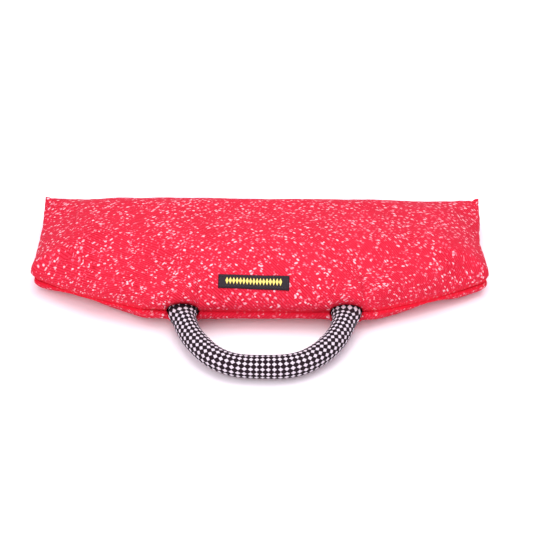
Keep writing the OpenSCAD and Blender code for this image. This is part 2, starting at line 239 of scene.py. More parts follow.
def seam_height(x, y):
    """Height of the seam: level in front, lower at the two front corners, and lifted at the two back corners."""
    across = np.clip(np.abs(x) / (cover_width / 2), 0, 1)
    beyond = (np.abs(x) - level_half) / (cover_width / 2 - level_half)
    beyond = (beyond + np.sqrt(beyond ** 2 + 0.03)) / 2
    along = np.clip((y - front_y) / cover_depth, 0, 1)
    dip = corner_dip * beyond * np.maximum(0, 1 - along / 0.9)
    return seam_level + corner_lift * across ** 4 * along ** 3 + 0.0005 * along - dip


def mouth(x, y):
    """Half height of the opening that the legs make in the seam: a round arch over each, fading inwards."""
    from_leg = np.minimum(np.abs(x - handle_middle_x - leg_half_gap), np.abs(x - handle_middle_x + leg_half_gap))
    arch = np.sqrt(np.clip(1 - (from_leg / mouth_half_width) ** 2, 0, 1))
    return mouth_half_height * arch * (1 - ease((y - front_y) / mouth_length))


def cover_plan(u, v):
    """Place on the table of grid point u, v: u is -1 to 1 across, v is 0 at the front edge and 1 at the back."""
    bow = front_y + front_bow * np.abs(u) ** 4
    y = bow + v * (back_y - bow)
    return u * half_width(y), y


def cover_base(u, v, top):
    """The stuffed shape before the cloth settles: from the seam's height, a quarter-circle roll to a flat middle.

    The top panel rises to its crown, which is lower near the two back ears. The bottom panel comes down to the
    table, in a rounder roll near the two front corners.
    """
    x, y = cover_plan(u, v)
    seam = seam_height(x, y)
    edge = from_edge(x, y)
    if top:
        crown = crown_front + (crown_back - crown_front) * ease((y - front_y - 0.03) / (cover_depth - 0.05))
        reach = ear_reach + right_ear_extra * (x > 0)
        thin = ((cover_width / 2 - np.abs(x)) / reach) ** 2 + ((back_y - y) / (1.15 * ear_reach)) ** 2
        crown = crown * (1 - ear_thinning * np.exp(-thin))
        z = seam + mouth(x, y) + crown * quarter(edge / top_roll)
    else:
        lip = seam - mouth(x, y)
        to_corner = np.hypot(cover_width / 2 - np.abs(x), y - front_y - slant_depth)
        roll = bottom_roll + corner_roll * np.exp(-(to_corner / corner_roll_reach) ** 2)
        z = lip * (1 - quarter(edge / roll))
    return np.stack([x, y, z], axis=-1)


def cover_parameters(across, along):
    """Grid steps that are closer together towards the edges."""
    t = np.linspace(-1, 1, across + 1)
    s = np.linspace(0, 1, along + 1)
    u = 0.6 * t + 0.4 * np.sin(t * np.pi / 2)
    v = 0.55 * s + 0.45 * (1 - np.cos(np.pi * s)) / 2
    return np.meshgrid(u, v)


cloth_pressure = 4.0
cloth_slack = 0.01
cloth_cap = 0.006
cloth_frames = 20
most_sunk = 0.0006


def settle(top, bottom):
    """Blows the welded pair of panels up as cloth, with the seam held, and returns how far each point moved."""
    rows, columns = top.shape[:2]
    top_ids = np.arange(rows * columns).reshape(rows, columns)
    bottom_ids = np.full((rows, columns), -1)
    bottom_ids[1:-1, 1:-1] = rows * columns + np.arange((rows - 2) * (columns - 2)).reshape(rows - 2, columns - 2)
    seam = bottom_ids < 0
    bottom_ids[seam] = top_ids[seam]
    points = np.vstack([top.reshape(-1, 3), bottom[1:-1, 1:-1].reshape(-1, 3)])
    mesh = smooth_mesh("settling", points, quads_of(top_ids), quads_of(bottom_ids)[:, ::-1])
    body = bpy.data.objects.new("settling", mesh)
    bpy.context.collection.objects.link(body)
    held = body.vertex_groups.new(name="seam")
    held.add(top_ids[seam].tolist(), 1.0, "REPLACE")
    cloth = body.modifiers.new("cloth", "CLOTH")
    cloth.settings.quality = 6
    cloth.settings.mass = 0.3
    cloth.settings.tension_stiffness = 25
    cloth.settings.compression_stiffness = 25
    cloth.settings.shear_stiffness = 8
    cloth.settings.bending_stiffness = 1.5
    cloth.settings.shrink_min = -cloth_slack
    cloth.settings.shrink_max = -cloth_slack
    cloth.settings.use_pressure = True
    cloth.settings.uniform_pressure_force = cloth_pressure
    cloth.settings.vertex_group_mass = "seam"
    cloth.settings.effector_weights.gravity = 0
    for number in range(1, cloth_frames + 1):
        bpy.context.scene.frame_set(number)
    settled = body.evaluated_get(bpy.context.evaluated_depsgraph_get()).data
    moved = np.empty(len(points) * 3, np.float32)
    settled.vertices.foreach_get("co", moved)
    moved = moved.reshape(-1, 3) - points
    length = np.linalg.norm(moved, axis=1, keepdims=True)
    moved *= np.minimum(1, cloth_cap / np.maximum(length, 1e-9))
    bpy.data.objects.remove(body)
    bpy.data.meshes.remove(mesh)
    bpy.context.scene.frame_set(1)
    return moved[top_ids], moved[bottom_ids]


def finer(field, rows, columns):
    """Resamples a coarse field of vectors onto rows by columns with cubic weights in both directions."""
    def weights(count, fine):
        place = np.linspace(0, count - 1, fine)
        cell = np.minimum(place.astype(int), count - 2)
        t = place - cell
        table = np.zeros((fine, count))
        cubic = (-t ** 3 + 2 * t ** 2 - t, 3 * t ** 3 - 5 * t ** 2 + 2,
                 -3 * t ** 3 + 4 * t ** 2 + t, t ** 3 - t ** 2)
        for step, w in zip((-1, 0, 1, 2), cubic):
            np.add.at(table, (np.arange(fine), np.clip(cell + step, 0, count - 1)), w / 2)
        return table
    down = weights(field.shape[0], rows)
    across = weights(field.shape[1], columns)
    return np.einsum("ij,jkc,lk->ilc", down, field, across)


def smoothed(field, rounds):
    """Evens out a coarse field: each round averages every point with its neighbours, weighted 1, 2, 1 each way."""
    for _ in range(rounds):
        for axis in (0, 1):
            wide = np.concatenate([field.take([0], axis), field, field.take([-1], axis)], axis=axis)
            count = field.shape[axis]
            middle = wide.take(range(1, count + 1), axis)
            field = (wide.take(range(count), axis) + 2 * middle + wide.take(range(2, count + 2), axis)) / 4
    return field


def waves(x, y, lengths, seed):
    """A quiet unevenness between -1 and 1: the mean of sine waves of the given lengths in scattered directions."""
    dice = np.random.default_rng(seed)
    total = np.zeros_like(x)
    for length in lengths:
        turn, phase = dice.uniform(0, 2 * np.pi, 2)
        total += np.sin(2 * np.pi * (x * np.cos(turn) + y * np.sin(turn)) / length + phase)
    return total / len(lengths)


def surface_normals(points):
    """Unit normals of a grid of points, from the cross product of its two directions."""
    across = np.gradient(points, axis=1)
    along = np.gradient(points, axis=0)
    n = np.cross(across, along)
    return n / np.maximum(np.linalg.norm(n, axis=-1, keepdims=True), 1e-12)


def arc_from_ends(points, axis):
    """Distance along the surface from the start of each row or column, and to its nearer end."""
    step = np.linalg.norm(np.diff(points, axis=axis), axis=-1)
    pad = [(0, 0), (0, 0)]
    pad[axis] = (1, 0)
    run = np.cumsum(np.pad(step, pad), axis=axis)
    total = run.take([-1], axis=axis)
    return run, np.minimum(run, total - run)


seam_valley_depth = 0.0012
seam_valley_width = 0.0028
# width of the painted shade along the seam, as a bell curve
seam_shade_width = 0.0018
side_bulge = 0.0028
left_front_bulge = 0.0025
bulge_place = 0.009
ear_tip = 0.009
ear_root = 0.014
ear_spread = 0.030
ear_out = 0.0026
ear_up = 0.0022
right_ear_up = 0.0014
crease_place = 0.0065
crease_width = 0.0018
crease_length = 0.022
crease_depth = 0.0008
right_crease_depth = 0.0010
right_side_in = 0.0024
right_side_in_y = 0.055
back_edge_in = 0.0022
pucker_lengths = (0.0095, 0.0124, 0.0163, 0.021)
pucker_height = 0.0007
lump_lengths = (0.031, 0.043, 0.058, 0.083)
lump_height = 0.0006
coarse_u, coarse_v = cover_parameters(92, 44)
fine_u, fine_v = cover_parameters(276, 132)
settled = settle(cover_base(coarse_u, coarse_v, True), cover_base(coarse_u, coarse_v, False))


def cover_panel(top):
    """One finished panel: its points, its cloth map, and how near each point is to the seam, from 1 on it to 0,
    which sets the painted shade along the seam.

    To the settled shape come a valley along the seam, which falls off as an exponential, a swell behind it, ears
    and creases as bell curves about the back corners, and puckers and lumps as sums of waves along the normal.
    """
    base = cover_base(fine_u, fine_v, top)
    points = base.copy()
    if settled is not None:
        moved = finer(smoothed(settled[0 if top else 1], 2), *fine_u.shape)
        if top:
            moved[..., 2] = np.maximum(moved[..., 2], -most_sunk)
        points += moved
    x, y = base[..., 0], base[..., 1]
    row_run, row_arc = arc_from_ends(base, 1)
    column_run, column_arc = arc_from_ends(base, 0)
    near = np.minimum(row_arc * edge_cosine(y), column_arc)
    # level, and straight away from the nearest edge
    step = 0.0005
    gx = from_edge(x + step, y) - from_edge(x - step, y)
    gy = from_edge(x, y + step) - from_edge(x, y - step)
    size = np.maximum(np.hypot(gx, gy), 1e-9)
    inward = np.stack([gx / size, gy / size, np.zeros_like(gx)], axis=-1)
    to_ear = np.hypot(cover_width / 2 - np.abs(x), back_y - y)
    ear = np.exp(-(to_ear / ear_root) ** 2)
    valley = seam_valley_depth * np.exp(-(near / seam_valley_width) ** 1.3) * (1 - 0.75 * ear)
    swell = near / bulge_place * np.exp(1 - near / bulge_place) * (1 - ear)
    left_front = ease((-x - 0.05) / 0.10) * ease((0.03 - y) / 0.04) * top
    points += inward * (valley - swell * (side_bulge + left_front_bulge * left_front))[..., None]
    # the ears stand out and up a little, with a short crease beside them, and the right side is drawn in
    side_gap = cover_width / 2 - np.abs(x)
    near_side = np.exp(-(side_gap / 0.03) ** 2)
    drawn = right_side_in * np.exp(-((y - right_side_in_y) / 0.03) ** 2) * near_side * (x > 0)
    ear_wide = np.exp(-(to_ear / ear_spread) ** 2)
    points[..., 0] += np.sign(x) * (ear_out * ear_wide - drawn)
    points[..., 2] += (ear_up + right_ear_up * (x > 0)) * np.exp(-(to_ear / ear_tip) ** 2)
    if top:
        crease = np.exp(-((side_gap - crease_place) / crease_width) ** 2)
        crease = crease * np.exp(-((back_y - y) / crease_length) ** 2)
        points[..., 2] -= (crease_depth + right_crease_depth * (x > 0)) * crease
    # the back edge is pulled in a little between its corners
    points[..., 1] -= back_edge_in * (1 - ear_wide) * np.exp(-(np.maximum(0, back_y - y) / 0.03) ** 2)
    normal = surface_normals(points) * (1 if top else -1)
    along_seam = np.where(column_arc < row_arc * edge_cosine(y), x, y)
    pucker = waves(along_seam, along_seam * 0, pucker_lengths, 5 if top else 6)
    pucker *= np.exp(-near / 0.010) * (1 - np.exp(-near / 0.0025))
    lumps = waves(x, y, lump_lengths, 7 if top else 8) * (1 - np.exp(-near / 0.02))
    lift = pucker_height * pucker + lump_height * lumps
    points += normal * lift[..., None]
    points[..., 2] = np.maximum(points[..., 2], 0.0)
    cloth_uv = np.stack([row_run - row_run[:, [row_run.shape[1] // 2]], column_run], axis=-1)
    return points, cloth_uv, np.exp(-(near / seam_shade_width) ** 2)


def set_cloth_map(mesh, places):
    """The mesh's cloth map: the place on the flat fabric, in metres, of each corner of each face."""
    mesh.uv_layers.new(name="cloth").data.foreach_set("uv", places.astype(np.float32).ravel())


def fabric_panel(name, points, uv, thickness, material, outward, valley=None):
    """A closed sheet of fabric: the outer grid, the same grid a thickness further in, and a strip round both.

    The grid's normals point out of the piece if outward is 1, and into it if it is -1. Valley marks the seam, where
    the fabric gets a painted shade.
    """
    inner = points - surface_normals(points) * (thickness * outward)
    rows, columns = points.shape[:2]
    ids = np.arange(rows * columns).reshape(rows, columns)
    quads = quads_of(ids)
    border = np.concatenate([ids[0, :-1], ids[:-1, -1], ids[-1, :0:-1], ids[:0:-1, 0]])
    after = np.roll(border, -1)
    count = rows * columns
    strip = np.stack([border, border + count, after + count, after], axis=-1)
    faces = np.vstack([quads, quads[:, ::-1] + count, strip])
    if outward < 0:
        faces = faces[:, ::-1]
    mesh = smooth_mesh(name, np.stack([points, inner]), faces)
    set_cloth_map(mesh, np.vstack([uv.reshape(-1, 2), uv.reshape(-1, 2)])[faces.reshape(-1)])
    if valley is not None:
        mark = mesh.attributes.new("valley", "FLOAT", "POINT")
        mark.data.foreach_set("value", np.concatenate([valley.ravel(), valley.ravel()]).astype(np.float32))
    return add_object(name, mesh, material)


def math_node(tree, operation, *values):
    """A Math node: each value is a number or a socket to link."""
    node = tree.nodes.new("ShaderNodeMath")
    node.operation = operation
    for k, value in enumerate(values):
        if isinstance(value, (int, float)):
            node.inputs[k].default_value = value
        else:
            tree.links.new(value, node.inputs[k])
    return node.outputs[0]


def new_group(name, inputs, outputs):
    """An empty shader node group with float or vector sockets; returns it with its two end nodes."""
    group = bpy.data.node_groups.new(name, "ShaderNodeTree")
    for label, kind, value in inputs:
        socket = group.interface.new_socket(label, in_out="INPUT", socket_type=kind)
        if value is not None:
            socket.default_value = value
    for label, kind in outputs:
        group.interface.new_socket(label, in_out="OUTPUT", socket_type=kind)
    return group, group.nodes.new("NodeGroupInput"), group.nodes.new("NodeGroupOutput")


def place_group(tree, group, **values):
    """Puts a group into a tree and sets its inputs to numbers or links them to sockets."""
    node = tree.nodes.new("ShaderNodeGroup")
    node.node_tree = group
    for label, value in values.items():
        socket = node.inputs[label.replace("_", " ")]
        if isinstance(value, bpy.types.NodeSocket):
            tree.links.new(value, socket)
        else:
            socket.default_value = value
    return node


def make_yarn_group():
    """Thread ridges: a sine of the distance across lines at an angle, with the lines bent a little by noise."""
    group, start, end = new_group(
        "yarn_ridges",
        [("Vector", "NodeSocketVector", None), ("Pitch", "NodeSocketFloat", 0.002),
         ("Angle", "NodeSocketFloat", 0.8), ("Wander", "NodeSocketFloat", 0.0006)],
        [("Height", "NodeSocketFloat")])
    noise = group.nodes.new("ShaderNodeTexNoise")
    noise.inputs["Scale"].default_value = 160.0
    noise.inputs["Detail"].default_value = 2.0
    group.links.new(start.outputs["Vector"], noise.inputs["Vector"])
    split = group.nodes.new("ShaderNodeSeparateXYZ")
    group.links.new(start.outputs["Vector"], split.inputs[0])
    cosine = math_node(group, "COSINE", start.outputs["Angle"])
    sine = math_node(group, "SINE", start.outputs["Angle"])
    across = math_node(group, "ADD", math_node(group, "MULTIPLY", split.outputs["X"], cosine),
                       math_node(group, "MULTIPLY", split.outputs["Y"], sine))
    bend = math_node(group, "MULTIPLY", math_node(group, "SUBTRACT", noise.outputs["Fac"], 0.5),
                     start.outputs["Wander"])
    turns = math_node(group, "DIVIDE", math_node(group, "ADD", across, bend), start.outputs["Pitch"])
    wave = math_node(group, "SINE", math_node(group, "MULTIPLY", turns, 2 * math.pi))
    group.links.new(math_node(group, "MULTIPLY_ADD", wave, 0.5, 0.5), end.inputs["Height"])
    return group


def make_slub_group():
    """Pale slubs: a short rounded dash in some cells of a random mosaic that is stretched along one direction."""
    group, start, end = new_group(
        "pale_slubs",
        [("Vector", "NodeSocketVector", None), ("Angle", "NodeSocketFloat", 0.6),
         ("Long", "NodeSocketFloat", 0.0058), ("Wide", "NodeSocketFloat", 0.0030),
         ("Share", "NodeSocketFloat", 0.6)],
        [("Mask", "NodeSocketFloat"), ("Tone", "NodeSocketFloat")])
    turn = group.nodes.new("ShaderNodeVectorRotate")
    turn.rotation_type = "Z_AXIS"
    group.links.new(start.outputs["Vector"], turn.inputs["Vector"])
    group.links.new(start.outputs["Angle"], turn.inputs["Angle"])
    split = group.nodes.new("ShaderNodeSeparateXYZ")
    group.links.new(turn.outputs[0], split.inputs[0])
    join = group.nodes.new("ShaderNodeCombineXYZ")
    group.links.new(math_node(group, "DIVIDE", split.outputs["X"], start.outputs["Long"]), join.inputs["X"])
    group.links.new(math_node(group, "DIVIDE", split.outputs["Y"], start.outputs["Wide"]), join.inputs["Y"])
    cells = group.nodes.new("ShaderNodeTexVoronoi")
    cells.voronoi_dimensions = "2D"
    cells.inputs["Scale"].default_value = 1.0
    group.links.new(join.outputs[0], cells.inputs["Vector"])
    pick = group.nodes.new("ShaderNodeSeparateColor")
    group.links.new(cells.outputs["Color"], pick.inputs[0])
    chosen = math_node(group, "LESS_THAN", pick.outputs[0], start.outputs["Share"])
    smallest, spread, soft_edge = 0.09, 0.15, 0.13
    size = math_node(group, "MULTIPLY_ADD", pick.outputs[1], spread, smallest)
    inside = group.nodes.new("ShaderNodeMapRange")
    inside.interpolation_type = "SMOOTHSTEP"
    group.links.new(cells.outputs["Distance"], inside.inputs["Value"])
    group.links.new(size, inside.inputs["From Min"])
    group.links.new(math_node(group, "ADD", size, soft_edge), inside.inputs["From Max"])
    inside.inputs["To Min"].default_value = 1.0
    inside.inputs["To Max"].default_value = 0.0
    group.links.new(math_node(group, "MULTIPLY", inside.outputs["Result"], chosen), end.inputs["Mask"])
    group.links.new(pick.outputs[2], end.inputs["Tone"])
    return group


yarn_ridges = make_yarn_group()
pale_slubs = make_slub_group()


def mix_colours(tree, factor, first, second):
    """Mixes two colours or colour sockets by a factor or socket."""
    node = tree.nodes.new("ShaderNodeMix")
    node.data_type = "RGBA"
    for socket, value in ((node.inputs[0], factor), (node.inputs[6], first), (node.inputs[7], second)):
        if isinstance(value, bpy.types.NodeSocket):
            tree.links.new(value, socket)
        elif isinstance(value, (int, float)):
            socket.default_value = value
        else:
            socket.default_value = (*value, 1)
    return node.outputs[2]


def bump(tree, shader, height, distance, strength=1.0):
    """Feeds a height into the shader's normal; distance is the height of a full step, in metres."""
    node = tree.nodes.new("ShaderNodeBump")
    node.inputs["Strength"].default_value = strength
    node.inputs["Distance"].default_value = distance
    tree.links.new(height, node.inputs["Height"])
    tree.links.new(node.outputs["Normal"], shader.inputs["Normal"])


def cloth_coordinates(tree):
    """The piece's own cloth map, in metres along the fabric."""
    node = tree.nodes.new("ShaderNodeUVMap")
    node.uv_map = "cloth"
    return node.outputs[0]


def make_cover_fabric():
    """Red twill: diagonal ribs with dark gaps, finer cross threads, drifting tone, pale slubs lying two ways, and a
    painted shade along the seam valley.
    """
    material, tree, shader = new_material("red_slub_twill", 0.9)
    shader.inputs["Specular IOR Level"].default_value = 0.12
    cloth = cloth_coordinates(tree)
    ribs = place_group(tree, yarn_ridges, Vector=cloth, Pitch=0.0022, Angle=0.80, Wander=0.0012).outputs[0]
    threads = place_group(tree, yarn_ridges, Vector=cloth, Pitch=0.0011, Angle=2.2, Wander=0.0008).outputs[0]
    falling = place_group(tree, pale_slubs, Vector=cloth, Angle=0.72, Long=0.0052, Wide=0.0031, Share=0.27)
    rising = place_group(tree, pale_slubs, Vector=cloth, Angle=-0.55, Long=0.0058, Wide=0.0032, Share=0.25)
    specks = place_group(tree, pale_slubs, Vector=cloth, Angle=0.3, Long=0.0030, Wide=0.0024, Share=0.46)
    drift = tree.nodes.new("ShaderNodeTexNoise")
    drift.inputs["Scale"].default_value = 230.0
    drift.inputs["Detail"].default_value = 3.0
    tree.links.new(cloth, drift.inputs["Vector"])
    patches = tree.nodes.new("ShaderNodeTexNoise")
    patches.inputs["Scale"].default_value = 28.0
    tree.links.new(cloth, patches.inputs["Vector"])
    deep, bright = (0.58, 0.011, 0.030), (0.78, 0.035, 0.076)
    # gap_red is the dark between the twill ribs; the second red is painted shade for the seam valley
    gap_red, seam_shade_red = (0.42, 0.004, 0.015), (0.74, 0.006, 0.026)
    slub_cover = 0.85
    ground = mix_colours(tree, drift.outputs["Fac"], deep, bright)
    gap = math_node(tree, "MULTIPLY", math_node(tree, "POWER", math_node(tree, "SUBTRACT", 1.0, ribs), 1.3),
                    math_node(tree, "MULTIPLY_ADD", patches.outputs["Fac"], 1.1, 0.15))
    colour = mix_colours(tree, gap, ground, gap_red)
    # painted shade: the seam valley is coloured a darker, more saturated red, and the pale slubs are kept out of it
    valley = tree.nodes.new("ShaderNodeAttribute")
    valley.attribute_name = "valley"
    clear_of_seam = math_node(tree, "SUBTRACT", 1.0, valley.outputs["Fac"])
    colour = mix_colours(tree, valley.outputs["Fac"], colour, seam_shade_red)
    for slub, dim, clear in ((specks, (0.50, 0.010, 0.030), (0.84, 0.22, 0.30)),
                             (falling, (0.78, 0.08, 0.14), (0.88, 0.68, 0.72)),
                             (rising, (0.78, 0.08, 0.14), (0.88, 0.62, 0.66))):
        pale = mix_colours(tree, slub.outputs["Tone"], dim, clear)
        off_seam = math_node(tree, "MULTIPLY", clear_of_seam, slub_cover)
        share = math_node(tree, "MULTIPLY", slub.outputs["Mask"], off_seam)
        colour = mix_colours(tree, share, colour, pale)
    tree.links.new(colour, shader.inputs["Base Color"])
    rib_relief = math_node(tree, "MULTIPLY", ribs, 0.7)
    thread_relief = math_node(tree, "MULTIPLY", threads, 0.3)
    relief = math_node(tree, "ADD", rib_relief, thread_relief)
    raised = math_node(tree, "MAXIMUM", falling.outputs["Mask"], rising.outputs["Mask"])
    bump(tree, shader, math_node(tree, "MULTIPLY_ADD", raised, 0.5, relief), 0.0005, 0.8)
    return material


red_twill = make_cover_fabric()
top_points, top_uv, top_valley = cover_panel(True)
bottom_points, bottom_uv, bottom_valley = cover_panel(False)
top_cover = fabric_panel("top_cover", top_points, top_uv, fabric_thickness, red_twill, 1, top_valley)
bottom_cover = fabric_panel("bottom_cover", bottom_points, bottom_uv, fabric_thickness, red_twill, -1,
                            bottom_valley)
for cover, node, fill in ((top_cover, "top_panel", 0.8), (bottom_cover, "bottom_panel", 0.8)):
    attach(cover, "pad")
    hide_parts(node)


# ---------------------------------------------------------------- the label
# A narrow black woven label, sewn down all round on the front of the top panel, a little to the left. Its real
# lettering is left out; a band of plain yellow lozenges stands in its place.
label_low, label_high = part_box("label_base")
label_x = (label_low.x + label_high.x) / 2
label_y = (label_low.y + label_high.y) / 2
label_length = label_high.x - label_low.x
label_depth = label_high.y - label_low.y
label_turn = math.radians(-1.2)
label_thickness = 0.0008
label_lift = 0.0009
hem_height = 0.00022
edge_drop_depth = 0.0004
edge_drop_width = 0.0008
top_normals = surface_normals(top_points)


def on_label(a, b, lift):
    """Point a along and b up the label, both from -1 to 1, lifted off the cover: bilinear in the cover's grid."""
    dx, dy = a * label_length / 2, b * label_depth / 2
    x = label_x + dx * math.cos(label_turn) - dy * math.sin(label_turn)
    y = label_y + dx * math.sin(label_turn) + dy * math.cos(label_turn)
    bow = front_y + front_bow * np.abs(x / half_width(y)) ** 4
    row = np.interp((y - bow) / (back_y - bow), fine_v[:, 0], np.arange(fine_v.shape[0]))
    column = np.interp(x / half_width(y), fine_u[0], np.arange(fine_u.shape[1]))
    r, c = row.astype(int), column.astype(int)
    s, t = (row - r)[..., None], (column - c)[..., None]

    def sample(grid):
        near = grid[r, c] * (1 - t) + grid[r, c + 1] * t
        return near * (1 - s) + (grid[r + 1, c] * (1 - t) + grid[r + 1, c + 1] * t) * s
    normal = sample(top_normals)
    normal /= np.linalg.norm(normal, axis=-1, keepdims=True)
    return sample(top_points) + normal * np.asarray(lift)[..., None]


def make_satin(name, dark, light):
    """Fine satin weave of a woven label: thin lines along the label's own map."""
    material, tree, shader = new_material(name, 0.55)
    shader.inputs["Specular IOR Level"].default_value = 0.2
    cloth = cloth_coordinates(tree)
    lines = place_group(tree, yarn_ridges, Vector=cloth, Pitch=0.0006, Angle=1.35, Wander=0.0003).outputs[0]
    tree.links.new(mix_colours(tree, lines, dark, light), shader.inputs["Base Color"])
    bump(tree, shader, lines, 0.00012, 0.6)
    return material


label_black = make_satin("label_black", (0.006, 0.003, 0.005), (0.022, 0.014, 0.020))
label_yellow = make_satin("label_yellow", (0.70, 0.56, 0.06), (0.88, 0.80, 0.26))
label_a, label_b = np.meshgrid(np.linspace(-1, 1, 105), np.linspace(-1, 1, 21))
hem = hem_height * np.exp(-(((1 - np.abs(label_b)) * 0.5 * label_depth - 0.0011) / 0.0007) ** 2)
hem += hem_height * np.exp(-(((1 - np.abs(label_a)) * 0.5 * label_length - 0.0014) / 0.0008) ** 2)
edge_drop = edge_drop_depth * (np.exp(-(1 - np.abs(label_b)) * label_depth / edge_drop_width)
                               + np.exp(-(1 - np.abs(label_a)) * label_length / edge_drop_width))
label_points = on_label(label_a, label_b, label_lift + hem - edge_drop)
label_uv = np.stack([label_a * label_length / 2, label_b * label_depth / 2], axis=-1)
label = fabric_panel("label", label_points, label_uv, label_thickness, label_black, 1)
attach(label, "pad")
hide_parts("label_base")


def many_grids(name, points, material):
    """One mesh of many small skins: points is skins by rings by sides, and rings shrink to nearly a point."""
    skins, rings, sides = points.shape[:3]
    ids = np.arange(skins * rings * sides).reshape(skins, rings, sides)
    ids = np.concatenate([ids, ids[..., :1]], axis=-1)
    quads = np.stack([ids[:, :-1, :-1], ids[:, 1:, :-1], ids[:, 1:, 1:], ids[:, :-1, 1:]], axis=-1)
    return add_object(name, smooth_mesh(name, points, quads.reshape(-1, 4)), material)


lozenge_count = 17
lozenge_share = 0.80
lozenge_height = 0.52
lozenge_ring = np.array([1.0, 1.0, 0.86, 0.5, 0.02])
lozenge_lift = np.array([0.0007, 0.00118, 0.00130, 0.00136, 0.00138])


def lozenge_rings():
    """Raised diamonds in a row: each is a set of shrinking four-cornered rings, lifted in a dome to its middle."""
    corner = np.array([[1, 0], [0, 1], [-1, 0], [0, -1]], float)
    steps = np.linspace(0, 1, 4, endpoint=False)[:, None]
    outline = np.concatenate([corner[k] + (corner[(k + 1) % 4] - corner[k]) * steps for k in range(4)])
    middle = (np.arange(lozenge_count) - (lozenge_count - 1) / 2) * 2 * lozenge_share / lozenge_count
    across = lozenge_ring[:, None] * outline[:, 0] * lozenge_share / lozenge_count * 0.96
    a = middle[:, None, None] + across
    b = np.broadcast_to(lozenge_ring[:, None] * outline[:, 1] * lozenge_height, a.shape)
    return on_label(a, b, np.broadcast_to(lozenge_lift[:, None], a.shape))


def thread_row(starts, ends, normals, radius, rings=7, sides=8):
    """Small arched stitches: a round thread from each start to its end, thin at both ends, lifted in between."""
    share = np.linspace(0, 1, rings)[None, :, None, None]
    turn = np.linspace(0, 2 * np.pi, sides, endpoint=False)[None, None, :, None]
    along = ends - starts
    along_unit = along / np.linalg.norm(along, axis=1, keepdims=True)
    side = np.cross(normals, along_unit)
    size = radius * np.sqrt(np.clip(1 - (2 * share - 1) ** 4, 0.004, 1))
    spread = side[:, None, None] * np.cos(turn) + normals[:, None, None] * np.sin(turn)
    arch = normals[:, None, None] * (radius * 0.9 * np.sin(np.pi * share) - radius * 0.4)
    return starts[:, None, None] + along[:, None, None] * share + spread * size + arch


lozenges = many_grids("label_lozenges", lozenge_rings(), label_yellow)
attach(lozenges, "pad")
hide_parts("label_motif")

stitch_pitch = 0.0026
stitch_long = 0.0018
stitch_inset = 0.0013
stitch_lift = 0.0012
stitch_radius = 0.00022


def label_stitches():
    """Starts, ends and normals of the stitches round the label, a fixed distance inside its edge."""
    inset_a = 1 - 2 * stitch_inset / label_length
    inset_b = 1 - 2 * stitch_inset / label_depth
    across = np.arange(-label_length / 2 + 0.003, label_length / 2 - 0.003, stitch_pitch)
    starts_a = np.concatenate([across, across]) / (label_length / 2)
    starts_b = np.repeat([-inset_b, inset_b], len(across))
    ends_a = starts_a + stitch_long / (label_length / 2)
    ends_b = starts_b
    up = np.array([-0.45, 0.05])
    side = np.concatenate([np.repeat([-inset_a], len(up)), np.repeat([inset_a], len(up))])
    starts_a, ends_a = np.concatenate([starts_a, side]), np.concatenate([ends_a, side])
    starts_b = np.concatenate([starts_b, up, up])
    ends_b = np.concatenate([ends_b, up + 0.4, up + 0.4])
    level = np.full(starts_a.shape, stitch_lift)
    low, high = on_label(starts_a, starts_b, level), on_label(starts_a, starts_b, level + 0.001)
    return low, on_label(ends_a, ends_b, level), (high - low) / 0.001


def make_thread(name, dark, light):
    """Twisted sewing thread: fine slanted lines on the piece's own place."""
    material, tree, shader = new_material(name, 0.6)
    place = tree.nodes.new("ShaderNodeTexCoord").outputs["Object"]
    twist = place_group(tree, yarn_ridges, Vector=place, Pitch=0.0004, Angle=0.7, Wander=0.0002).outputs[0]
    tree.links.new(mix_colours(tree, twist, dark, light), shader.inputs["Base Color"])
    bump(tree, shader, twist, 0.0001, 0.6)
    return material


black_thread = make_thread("black_thread", (0.008, 0.005, 0.007), (0.05, 0.04, 0.05))
red_thread = make_thread("red_thread", (0.36, 0.004, 0.012), (0.66, 0.02, 0.04))
label_thread = many_grids("label_thread", thread_row(*label_stitches(), stitch_radius), black_thread)
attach(label_thread, "pad")
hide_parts("label_stitch")


# ---------------------------------------------------------------- the hand stitches in the back seam
# The back seam was left open for stuffing and closed by hand: a row of slanting stitches over the two lips.
closing_low, closing_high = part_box("closing_stitch")
closing_pitch = 0.006
closing_lean = 0.0022
closing_radius = 0.00035


def closing_stitches():
    """Starts on the upper lip, ends on the lower lip further along, and normals that point out of the back."""
    x = np.arange(closing_low.x + 0.0015, closing_high.x - 0.002, closing_pitch)
    column = np.arange(top_points.shape[1])
    places = []
    for row, shift in ((top_points[-4], 0.0), (bottom_points[-3], closing_lean)):
        at = np.interp(x + shift, row[:, 0], column)
        places.append(np.stack([np.interp(at, column, row[:, k]) for k in range(3)], axis=-1))
    out = np.tile(np.array([0.0, 1.0, 0.0]), (len(x), 1))
    return places[0], places[1], out


closing = many_grids("closing_stitches", thread_row(*closing_stitches(), closing_radius), red_thread)
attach(closing, "pad")
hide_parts("closing_stitch")


# ---------------------------------------------------------------- the handle's sleeve
# A tube of thick check webbing round the padded loop. Both ends are pressed flat and caught in the front seam,
# where the handle bends when it is lifted.
tube_radius = 0.01025
foot_half_width = 0.0130
foot_half_height = 0.0075
sleeve_reach = front_y - sleeve_low.y - tube_radius
loop_belly = 2.7
loop_shoulder = 0.69
hinge_gap = 0.009
root_inside = 0.009
flat_run = 0.015
check_pitch = 0.0048
check_count = 14
weave_relief = 0.00035
foot_crowding = 0.5
foot_crowding_reach = 0.010
long_wobble = 0.00025
short_wobble = 0.0002
loop_ring = 112
loop_step = 0.0008


